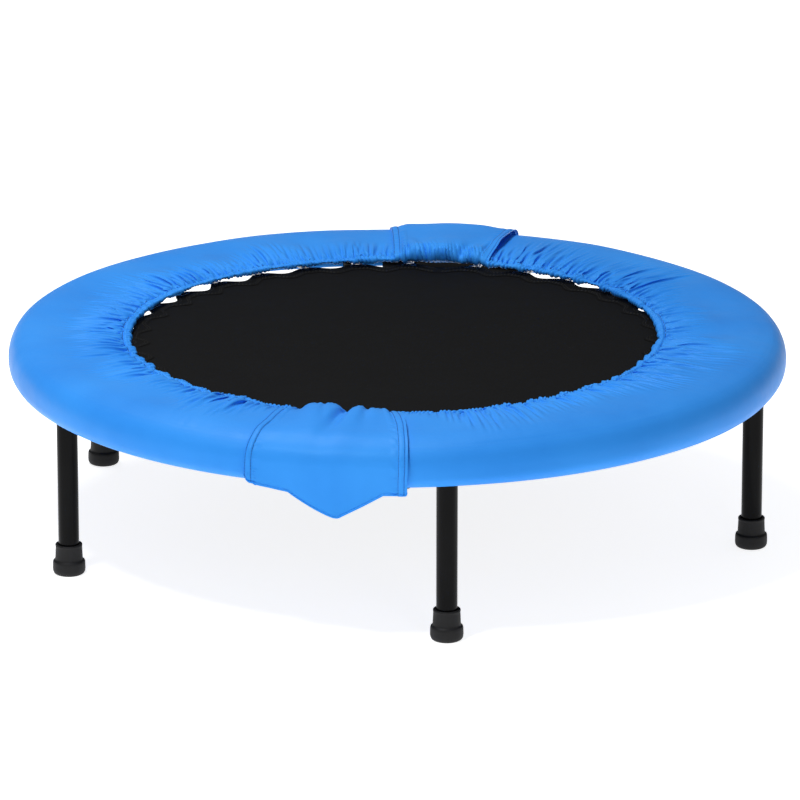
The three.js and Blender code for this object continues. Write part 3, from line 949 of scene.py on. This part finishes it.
def ruffles(run, from_stitches, seed):
    """Tight ruffles of the fabric bunched on the elastic, round-backed with sharp creases between
    them, fading just past the stitches."""
    phase = np.pi * (run + 0.3 * from_stitches) / RUFFLE_PITCH
    phase = phase + 1.6 * noise_1d(run, 17 * MM, seed) + 0.5 * noise_1d(run, 7 * MM, seed + 1)
    ridge = 2 * np.sqrt(np.abs(np.sin(phase))) - 1.35
    size = 0.8 + 0.4 * noise_1d(run, 8 * MM, seed + 2)
    wide = 1.2 * noise_1d(run - 0.5 * from_stitches, 8 * MM, seed + 3) + noise_1d(run, 15 * MM, seed + 4)
    roll = fading(np.abs(from_stitches + 10 * MM), 10 * MM, 4)
    past = fading(from_stitches, 11 * MM) * (from_stitches >= 0)
    sewn = bell(from_stitches, 1.6 * MM) + 0.8 * bell(from_stitches + SECOND_ROW, 1.5 * MM)
    return (ridge * size + wide) * (1.7 * MM * roll + 1.9 * MM * past) - 1.4 * MM * sewn


def slump(angle, along):
    """How far the rim's shoulder sags towards the front."""
    forward = np.clip(np.cos(np.radians(angle)), 0, 1)
    return SLUMP * forward**2 * bell(along - SLUMP_ALONG, SLUMP_WIDTH)


def slack(side, angle, along):
    """How far the cover's inner part has slipped inwards, more on the right than on the left."""
    return SLACK[side] * bell(np.abs(angle) - SLACK_ANGLE, SLACK_SPREAD) * fading(along, 70 * MM)


def cover_skin(side):
    """The cover's outside from under the hem to the bottom of the skirt, with its smooth normals."""
    hem = smooth_line(HEM_LINE, HEM_ROWS) * MM
    panel = smooth_line(PANEL_LINE, PANEL_ROWS) * MM
    rim = smooth_line(RIM_LINE, RIM_ROWS) * MM
    rows = np.concatenate([hem[:-1], panel[:-1], rim])
    smooth, angle = swept(side, rows, COLUMNS)
    normal = upward(grid_normals(smooth), HEM_ROWS + PANEL_ROWS // 2)
    along = (run_lengths(rows) - run_lengths(hem)[-1])[:, None]
    run = np.radians(np.abs(angle)) * OPENING

    skin = smooth.copy()
    top = slice(HEM_ROWS - 1, HEM_ROWS - 1 + PANEL_ROWS)
    skin[top] = gathered(side, panel, COVER_SEEDS["gathers"] + side)
    lift = ruffles(run, along, COVER_SEEDS["ruffles"] + side)
    wavy = 1.0 * MM * noise_1d(run, 90 * MM, COVER_SEEDS["top"] + side)
    lift = lift + wavy * bell(along - 90 * MM, 50 * MM)
    skin += normal * (lift * calm(side, angle))[..., None]
    tucked = (1 - calm(side, angle)) * fading(along, 45 * MM)
    skin += at(angle, TUCK * tucked) - [0, 0, 1.0 * MM] * tucked[..., None]
    wavy = 1.2 * MM * noise_1d(run, 130 * MM, COVER_SEEDS["skirt"] + side)
    skin[..., 2] += wavy * np.clip((along - 155 * MM) / (50 * MM), 0, 1)
    outer = eased((along - 60 * MM) / (50 * MM))
    skin[..., 2] += RIM_LIFT[side] * np.sin(np.radians(angle)) ** 2 * outer
    skin[..., 2] -= slump(angle, along)
    skin -= at(angle, slack(side, angle, along))
    return skin, normal


def cover_half(side):
    """One padded half of the cover, closed by its lining underneath, and the stitches on its hem."""
    skin, normal = cover_skin(side)
    inner, _ = swept(side, smooth_line(UNDER_LINE, UNDER_ROWS) * MM, COLUMNS)
    loop = np.concatenate([skin, inner])
    total = len(loop)
    faces = [list(q) for q in grid_quads(total, COLUMNS, wrap_rows=True)]
    faces.append([i * COLUMNS for i in range(total)])
    faces.append([i * COLUMNS + COLUMNS - 1 for i in range(total)][::-1])
    obj = make(f"cover_{HALF_NAME[side]}_pad", [(loop.reshape(-1, 3), faces)], VINYL, sharp=80)
    turn_outwards(obj.data)
    obj.data.materials.append(LINING)
    lining = np.zeros(len(obj.data.polygons), int)
    lining[len(skin) * (COLUMNS - 1):total * (COLUMNS - 1)] = 1
    obj.data.polygons.foreach_set("material_index", lining)
    finish_piece(obj, BODY_OF_HALF[side], [f"cover_{HALF_NAME[side]}"])

    line = skin[HEM_ROWS - 1]
    stitches = stitch_line(line, normal[HEM_ROWS + 1], *HEM_STITCH)
    seam = make(f"hem_stitches_{HALF_NAME[side]}", stitches, THREAD)
    finish_piece(seam, BODY_OF_HALF[side])


# ---------------------------------------------------------------- flaps over the fold line

FLAP_TOP_LINE = [(344, 238.7), (339.5, 238.2), (335.4, 238.9), (333.2, 241.6), (333.5, 244.6),
                 (336.6, 246.6), (341, 247.4), (347, 248.2), (355, 250.1), (366, 251.7), (387, 252.8),
                 (411, 253.2), (429, 253.2), (443, 252.8), (455, 251.6), (466, 248.6),
                 (473.6, 243.4), (478.6, 235.8), (481.4, 226.4), (481.9, 215)]
FLAP_DROP_LINE = [(481.9, 215), (481.5, 207), (480.8, 198), (480.0, 188), (479.4, 176), (479.0, 155)]
# The heights over the flap's lower edge of its last rows.
NEAR_EDGE_ROWS = np.array([9, 6, 4, 3.2, 2.7, 2.3, 1.9, 1.3, 0.7, 0.3, 0.0]) * MM
FLAP_THICKNESS = 0.9 * MM
FLAP_STRAIGHT_Z = SKIRT_BOTTOM - 7 * MM
FLAP_TIP_Z = 159.4 * MM
TAB_LEFT, TAB_TIP, TAB_RIGHT = -50 * MM, 8.5 * MM, 63 * MM
FLAP_LEFT_SLOPE = 0.16
ROLLED_EDGE = 2.2 * MM

# Each puff over the hem: its place along x, its half width, height and reach, in millimetres.
PUFFS = {
    "front": [(-43, 12, 5.0, 72), (-22, 12, 6.0, 72), (11, 8, 7.0, 66), (29, 9, 4.5, 50)],
    "rear": [(-52, 9, 5.0, 30), (-30, 8, 7.5, 40), (-9, 8, 6.0, 34), (14, 9, 8.0, 42), (38, 8, 5.0, 30)],
}
# Each crease between puffs: its place along x at the hem, drift outwards, half width, depth, reach.
CREASES = {
    "front": [(-1, -0.1, 2.6, 14.0, 76), (-32, 0.12, 1.8, 2.4, 60), (-64, 0.2, 2.4, 4.0, 40),
              (20, 0.08, 2.2, 4.5, 66)],
    "rear": [(-41, -0.3, 2.2, 4.5, 34), (-19, -0.4, 2.2, 4.5, 38), (3, -0.3, 2.0, 4.0, 34),
             (26, 0.25, 2.4, 4.5, 34), (47, 0.2, 2.0, 2.5, 26)],
}
# Stitch lines as distances in from the flap's edge, in millimetres.
EDGE_STITCHES = {-1: (1.0, 8.0), 1: (3.5, 10.5)}
SEAM_RISE = {-1: 3.6 * MM, 1: 1.4 * MM}   # how far the cloth stands up beside the seam band
SEAM_STEP_MM = 0.5
SEAM_STEPS = np.arange(0, 14.01, SEAM_STEP_MM) * MM
FLAP_TOP_ROWS, DROP_LINE_POINTS, DROP_ROWS, FLAP_INNER_COLUMNS = 96, 40, 8, 104
UNDER_HEM = 15 * MM       # from the flap's first row to s = 0, as far as it is tucked under
DROP_ROW_STEP = 4 * MM    # what each row of the drop adds to s
FIRST_SEWN = 10           # the flap's first row that its edge stitches show on
FLAP_ROUNDS, FLAP_BENDING, FLAP_HIGH = 6, 0.02, 15 * MM
FLAP_SEED = {"front": 140, "rear": 150}
FLAP_GATHER = {"front": 0.20, "rear": 0.40}
FLAP_FOLDS = {"front": 0.5, "rear": 1.7}
FLAP_RUFFLES = {"front": 0.35, "rear": 1.0}
FLAP_LOW_X, FLAP_LOW = -44 * MM, 5.0 * MM   # the front flap's hem is lower left of here
FLAP_START = 12 * MM      # from the flap's s = 0 to the cover's stitches
HEM_RAISED = {"front": 0.0, "rear": 3 * MM}
FLAP_REACH = {"front": 40 * MM, "rear": 30 * MM}
FLAP_BULGE = {"front": 0.0, "rear": 6 * MM}      # where it stands up over the bare hinge
LOOSE_EDGE = {"front": 4.5 * MM, "rear": 9 * MM}
TALL_FROM, TALLEST = 259 * MM, 266.5 * MM   # puffs are drawn in from the first, to stay under the second


def lower_edge(x):
    """The height of the flap's lower edge, with its pointed tab."""
    left = np.clip((x - TAB_LEFT) / (TAB_TIP - TAB_LEFT), 0, 1)
    right = np.clip((TAB_RIGHT - x) / (TAB_RIGHT - TAB_TIP), 0, 1)
    share = np.where(x < TAB_TIP, 1.45 * left - 0.45 * left**2, right)
    blunt = np.where(share > 0.9, 0.9 + 0.1 * np.sin((share - 0.9) / 0.1 * np.pi / 2) * 0.72, share)
    sloped = FLAP_LEFT_SLOPE * np.clip(TAB_LEFT - x, 0, None)
    return FLAP_STRAIGHT_Z + sloped - (FLAP_STRAIGHT_Z - FLAP_TIP_Z) * blunt


def rounded_corner(side, from_edge):
    """How far the lower corners of the flap are cut back."""
    size = 9 * MM if side < 0 else 3 * MM
    inside = np.clip(1 - from_edge / size, 0, 1)
    return size * (1 - np.sqrt(1 - inside**2)) * 0.9


def flap_side_grid(name, side):
    """The flap's smooth grid from its edge to x = 0, with the arc distance from that edge, the
    distance from the hem of each row and the distance from the lower edge."""
    top = smooth_line(FLAP_TOP_LINE, FLAP_TOP_ROWS) * MM
    drop = smooth_line(FLAP_DROP_LINE, DROP_LINE_POINTS) * MM
    down = run_lengths(top)
    rows = len(top) + DROP_ROWS + len(NEAR_EDGE_ROWS)
    columns = len(SEAM_STEPS) + FLAP_INNER_COLUMNS
    share = np.clip((down - 22 * MM) / (down[-1] - 22 * MM), 0, None)
    edge = np.radians(flap_edge(name, side, np.concatenate([share, np.full(rows - len(top), 1.2)])))
    grid = np.empty((rows, columns, 3))
    from_edge = np.empty((rows, columns))
    from_low = np.full((rows, columns), 1.0)   # the top is nowhere near the lower edge
    for i in range(rows):
        radius = top[i, 0] if i < len(top) else drop[len(drop) // 3, 0]
        total = radius * edge[i]
        inner = np.linspace(SEAM_STEPS[-1], total, FLAP_INNER_COLUMNS + 1)[1:]
        from_edge[i] = np.concatenate([SEAM_STEPS, inner])
        angle = side * np.degrees((total - from_edge[i]) / radius)
        if i < len(top):
            grid[i] = at(angle, radius, top[i, 1])
            continue
        low = lower_edge(radius * np.sin(np.radians(angle))) + rounded_corner(side, from_edge[i])
        k = i - len(top)
        if k < DROP_ROWS:
            last = NEAR_EDGE_ROWS[0]
            above = (top[-1, 1] - low - last) * (1 - (k + 1) / (DROP_ROWS + 1)) + last
        else:
            above = NEAR_EDGE_ROWS[k - DROP_ROWS]
        height = low + above
        grid[i] = at(angle, np.interp(-height, -drop[:, 1], drop[:, 0]), height)
        from_low[i] = above
    if name == "rear":
        grid[..., 1] *= -1
    below = down[-1] + np.arange(1, rows - len(top) + 1) * DROP_ROW_STEP
    return grid, from_edge, np.concatenate([down, below]) - UNDER_HEM, from_low


def flap_puffs(name, x, s, inner):
    """The puffs, creases and small gathers over the hem, before the cloth settles."""
    height = np.zeros_like(x)
    for centre, width, tall, reach in PUFFS[name]:
        spread = width * MM * (1 + 0.9 * np.clip(s / (reach * MM), 0, 2))
        hump = np.exp(-0.5 * np.abs((x - centre * MM) / spread) ** 2.4)
        height += tall * MM * hump * fading(s - 8 * MM, reach * MM, 1.7)
    for centre, drift, width, deep, reach in CREASES[name]:
        spread = width * MM * (1 + 1.6 * np.clip(s / (reach * MM), 0, 2))
        line = np.exp(-0.5 * ((x - centre * MM - drift * s) / spread) ** 2)
        height -= deep * MM * line * fading(s - 4 * MM, reach * MM, 1.6)
    along = np.clip(s, 0, None) + 0 * x
    height += folds(x, along, FLAP_SEED[name], FLAP_FOLDS[name]) * (s > -2 * MM)
    height = np.maximum(height, -0.2 * MM) * np.clip((s + 9 * MM) / (9 * MM), 0, 1) * inner
    height += 0.9 * MM * noise_1d(x, 34 * MM, 170) * noise_1d(s + 0 * x, 30 * MM, 171) * inner
    lifted = np.clip((x + 84 * MM) / (24 * MM), 0, 1) * np.clip((92 * MM - x) / (60 * MM), 0, 1)
    return height + FLAP_BULGE[name] * eased(lifted) * bell(s - 108 * MM, 52 * MM)


def loose_edge(name, s, from_edge):
    """How far the right side's free edge stands off the cover."""
    curl = np.exp(-from_edge / (18 * MM)) * np.clip(s / (15 * MM), 0, 1)
    curl = curl * (0.3 + 0.7 * bell(s - 62 * MM, 42 * MM))
    return LOOSE_EDGE[name] * curl * (0.9 + 0.3 * noise_1d(s, 28 * MM, 190))


def lower_hem(from_edge, from_low):
    """The rolled lower edge, with the groove of its stitches above it."""
    roll = np.clip(1 - (from_low / ROLLED_EDGE * 2 - 1) ** 2, 0, 1)
    roll = roll * np.clip(from_edge / (4 * MM), 0, 1)
    return 0.9 * MM * np.sqrt(roll) - 0.5 * MM * bell(from_low - ROLLED_EDGE - 0.5 * MM, 0.6 * MM)


def flap_seams(side, name, x, s, from_edge, from_low):
    """Raised seam bands with stitch grooves and puckers, the edges, and the drop's slight waves."""
    first, second = (d * MM for d in EDGE_STITCHES[side])
    band = np.clip((second + 0.9 * MM - from_edge) / (0.9 * MM), 0, 1)
    middle = np.sin(np.clip((from_edge - first) / (second - first), 0, 1) * np.pi)
    pucker = noise_1d(s + 0.3 * from_edge, 2.6 * MM, 180 + side)
    height = band * (1.3 * MM + 0.4 * MM * pucker * middle + 0.4 * MM * middle)
    for line in (first, second):
        height = height - 0.75 * MM * bell(from_edge - line, 0.55 * MM)
    beyond = np.clip((from_edge - second) / (11 * MM), 0, 1)
    rise = np.sin(beyond * np.pi)
    uneven = noise_1d(s + 0.4 * from_edge, 3.6 * MM, 184 + side)
    height = height + 1.5 * MM * uneven * rise * (1 - beyond)
    near_hem = fading(s, 60 * MM)
    height = height + SEAM_RISE[side] * rise * near_hem
    height = height - 1.4 * MM * near_hem * bell(from_edge - second - 2.6 * MM, 1.8 * MM)
    if side > 0:
        height = height + loose_edge(name, s, from_edge)
    height = height + lower_hem(from_edge, from_low)
    swing = np.clip((s - 150 * MM) / (60 * MM), 0, 1)
    return height + swing * (2.0 * MM * noise_1d(x, 33 * MM, 200) + 0.8 * MM * noise_1d(x, 14 * MM, 201))


def joined(left, right):
    """Both sides' columns as one run from the left edge to the right edge."""
    return np.concatenate([left, right[:, -2::-1]], axis=1)


def drawn_in(height):
    """Heights over TALL_FROM pressed together, so that none reaches TALLEST."""
    room = TALLEST - TALL_FROM
    over = np.clip(height - TALL_FROM, 0, None)
    return np.minimum(height, TALL_FROM) + room * (1 - np.exp(-over / room))


def flap_surface(name):
    """The whole flap: its points, its normals, and the column that lies on the fold line."""
    sides = {side: flap_side_grid(name, side) for side in (-1, 1)}
    grid = joined(sides[-1][0], sides[1][0])
    from_edge = joined(sides[-1][1], sides[1][1])
    s = sides[-1][2][:, None]
    fold = sides[-1][0].shape[1] - 1
    x = grid[..., 0]
    normal = upward(grid_normals(grid), FLAP_TOP_ROWS // 2)
    inner = eased((from_edge - 5 * MM) / (14 * MM))
    skin = grid + normal * flap_puffs(name, x, s, inner)[..., None]
    spare = 1 + FLAP_GATHER[name] * fading(s, FLAP_REACH[name], 1.3) * inner
    loose = (inner > 0) * (s > -11 * MM) * (s < 140 * MM) * 1.0
    skin = settled(skin, grid, normal, spare, loose, FLAP_ROUNDS, FLAP_BENDING, 0.2 * MM, FLAP_HIGH)
    seams = [
        flap_seams(side, name, points[..., 0], s, edge, low)
        for side, (points, edge, _, low) in sides.items()
    ]
    bunched = FLAP_RUFFLES[name] * ruffles(x, s - FLAP_START, FLAP_SEED[name] + 5) * inner
    skin = skin + normal * (joined(*seams) + bunched)[..., None]
    skin[..., 2] += HEM_RAISED[name] * fading(s, 30 * MM)
    if name == "front":
        left_end = np.clip((FLAP_LOW_X - x) / (20 * MM), 0, 1) * fading(s, 22 * MM)
        skin[..., 2] -= slump(0, s - FLAP_START) + FLAP_LOW * left_end
    skin[..., 2] = drawn_in(skin[..., 2])
    shaded = grid_normals(skin)
    if np.sum(shaded * normal) < 0:
        shaded = -shaded
    return skin, shaded, fold


def flap(name):
    skin, normal, fold = flap_surface(name)
    columns = skin.shape[1]
    for side, part in ((-1, slice(0, fold + 1)), (1, slice(fold, columns))):
        half = HALF_NAME[side]
        sheet = thick_sheet(skin[:, part], FLAP_THICKNESS, normal[:, part])
        obj = make(f"flap_{name}_{half}", [sheet], VINYL, sharp=50)
        turn_outwards(obj.data)
        rows = []
        for line in EDGE_STITCHES[side]:
            c = int(line / SEAM_STEP_MM)
            if side > 0:
                c = columns - 1 - c
            rows += stitch_line(skin[FIRST_SEWN:, c], normal[FIRST_SEWN:, c], *FLAP_STITCH)
        seam = make(f"flap_{name}_{half}_stitches", rows, THREAD)
        if side < 0:
            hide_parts(f"cover_flap_{name}")
        for piece in (obj, seam):
            bend_with_fold(piece, side)


# ---------------------------------------------------------------- camera, lights and floor

CAMERA_TURN = 9.5  # degrees from the front towards the right
CAMERA_DISTANCE = 8.0
CAMERA_RISE = 16.57
CAMERA_PITCH = 17.19
CAMERA_AIM_RIGHT = 0.024
CAMERA_LENS = 291.6
CAMERA_SENSOR = 36
CAMERA_HEIGHT_ORIGIN = 249 * MM


def camera():
    data = bpy.data.cameras.new("camera")
    data.lens, data.sensor_width = CAMERA_LENS, CAMERA_SENSOR
    data.clip_start, data.clip_end = 0.1, 100
    obj = in_scene("camera", data)
    rise = math.radians(CAMERA_RISE)
    place = at(CAMERA_TURN, CAMERA_DISTANCE * math.cos(rise))
    obj.location = (place[0], place[1], CAMERA_HEIGHT_ORIGIN + CAMERA_DISTANCE * math.sin(rise))
    obj.rotation_euler = (math.radians(90 - CAMERA_PITCH), 0, math.radians(CAMERA_TURN - CAMERA_AIM_RIGHT))
    bpy.context.scene.camera = obj


def area_light(name, angle, radius, height, size, power, aim=(0, 0, 0.15)):
    data = bpy.data.lights.new(name, "AREA")
    data.shape, data.size, data.energy = "DISK", size, power
    obj = in_scene(name, data)
    obj.location = Vector(at(angle, radius, height))
    obj.rotation_euler = (Vector(aim) - obj.location).to_track_quat("-Z", "Y").to_euler()


FLOOR_SIZE = 14.0
FLOOR_GLOW, WORLD_GLOW = 0.84, 0.19


def pale_floor():
    n = Nodes("floor")
    n.surface(
        Base_Color=rgb(0.86, 0.86, 0.86),
        Roughness=0.85,
        Emission_Color=rgb(1, 1, 1),
        Emission_Strength=FLOOR_GLOW,
    )
    corners = [(x * FLOOR_SIZE, y * FLOOR_SIZE, 0) for x, y in ((-1, -1), (1, -1), (1, 1), (-1, 1))]
    floor = make("floor", [(corners, [(0, 1, 2, 3)])], n.material)


def white_world():
    world = bpy.data.worlds.new("studio")
    world.use_nodes = True
    background = world.node_tree.nodes["Background"]
    background.inputs["Color"].default_value = rgb(1, 1, 1)
    background.inputs["Strength"].default_value = WORLD_GLOW
    bpy.context.scene.world = world


def studio():
    pale_floor()
    white_world()
    area_light("overhead", 230, 0.8, 2.4, 1.0, 22)
    area_light("key", -27, 1.4, 2.5, 0.5, 37)
    area_light("front", 30, 3.2, 1.4, 0.9, 4)
    bpy.context.scene.view_settings.view_transform = "Standard"


for half_side in (-1, 1):
    frame_half(half_side)
for end_name, end_turn in (("front", 0), ("rear", 180)):
    bracket(end_name, end_turn)
    for half_name in ("left", "right"):
        hinge_bolt(end_name, half_name)
for leg_name, leg_angle in LEG_ANGLES.items():
    leg(leg_name, leg_angle)
springs()
mat()
for half_side in (-1, 1):
    cover_half(half_side)
for flap_name in ("front", "rear"):
    flap(flap_name)
camera()
studio()
